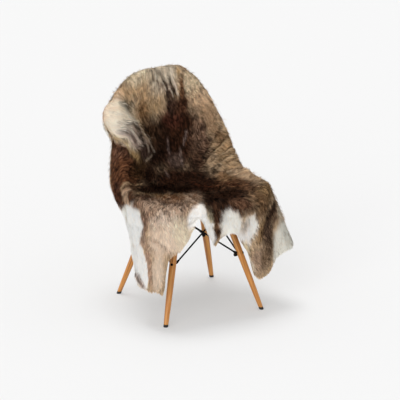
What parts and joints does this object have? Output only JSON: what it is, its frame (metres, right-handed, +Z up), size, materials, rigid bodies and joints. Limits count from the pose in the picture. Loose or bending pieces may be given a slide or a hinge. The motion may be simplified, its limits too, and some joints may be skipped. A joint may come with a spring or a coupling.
{
  "type": "reindeer hide draped over a side chair",
  "caption": "Reindeer hide with long brown and cream hair, laid over the seat and back of a shell side chair on splayed wooden legs as a warm cover.",
  "frame": {"origin": "on the floor, under the middle of the whole object's box", "axes": "+Z up, -Y is the front of the chair, +X is to the right of someone who looks at the chair from the front"},
  "size_m": [0.6276, 0.6164, 0.8552],
  "materials": {
    "hide": "long hair, matt",
    "shell": "satin",
    "wood": "oiled",
    "steel": "satin black",
    "rubber": "matt"
  },
  "bodies": {
    "root": {"hide": "hide", "seat_shell": "shell", "leg_front_left": "wood", "glide_front_left": "rubber", "bolt_front_left": "steel", "mount_front_left": "rubber", "rod_from_front_left_to_front_right": "steel", "rod_from_front_right_to_front_left": "steel", "leg_front_right": "wood", "glide_front_right": "rubber", "bolt_front_right": "steel", "mount_front_right": "rubber", "rod_from_front_right_to_rear_right": "steel", "rod_from_rear_right_to_front_right": "steel", "leg_rear_right": "wood", "glide_rear_right": "rubber", "bolt_rear_right": "steel", "mount_rear_right": "rubber", "rod_from_rear_right_to_rear_left": "steel", "rod_from_rear_left_to_rear_right": "steel", "leg_rear_left": "wood", "glide_rear_left": "rubber", "bolt_rear_left": "steel", "mount_rear_left": "rubber", "rod_from_rear_left_to_front_left": "steel", "rod_from_front_left_to_rear_left": "steel", "frame_front": "steel", "frame_rear": "steel", "frame_left": "steel", "frame_right": "steel"}
  },
  "joints": []
}
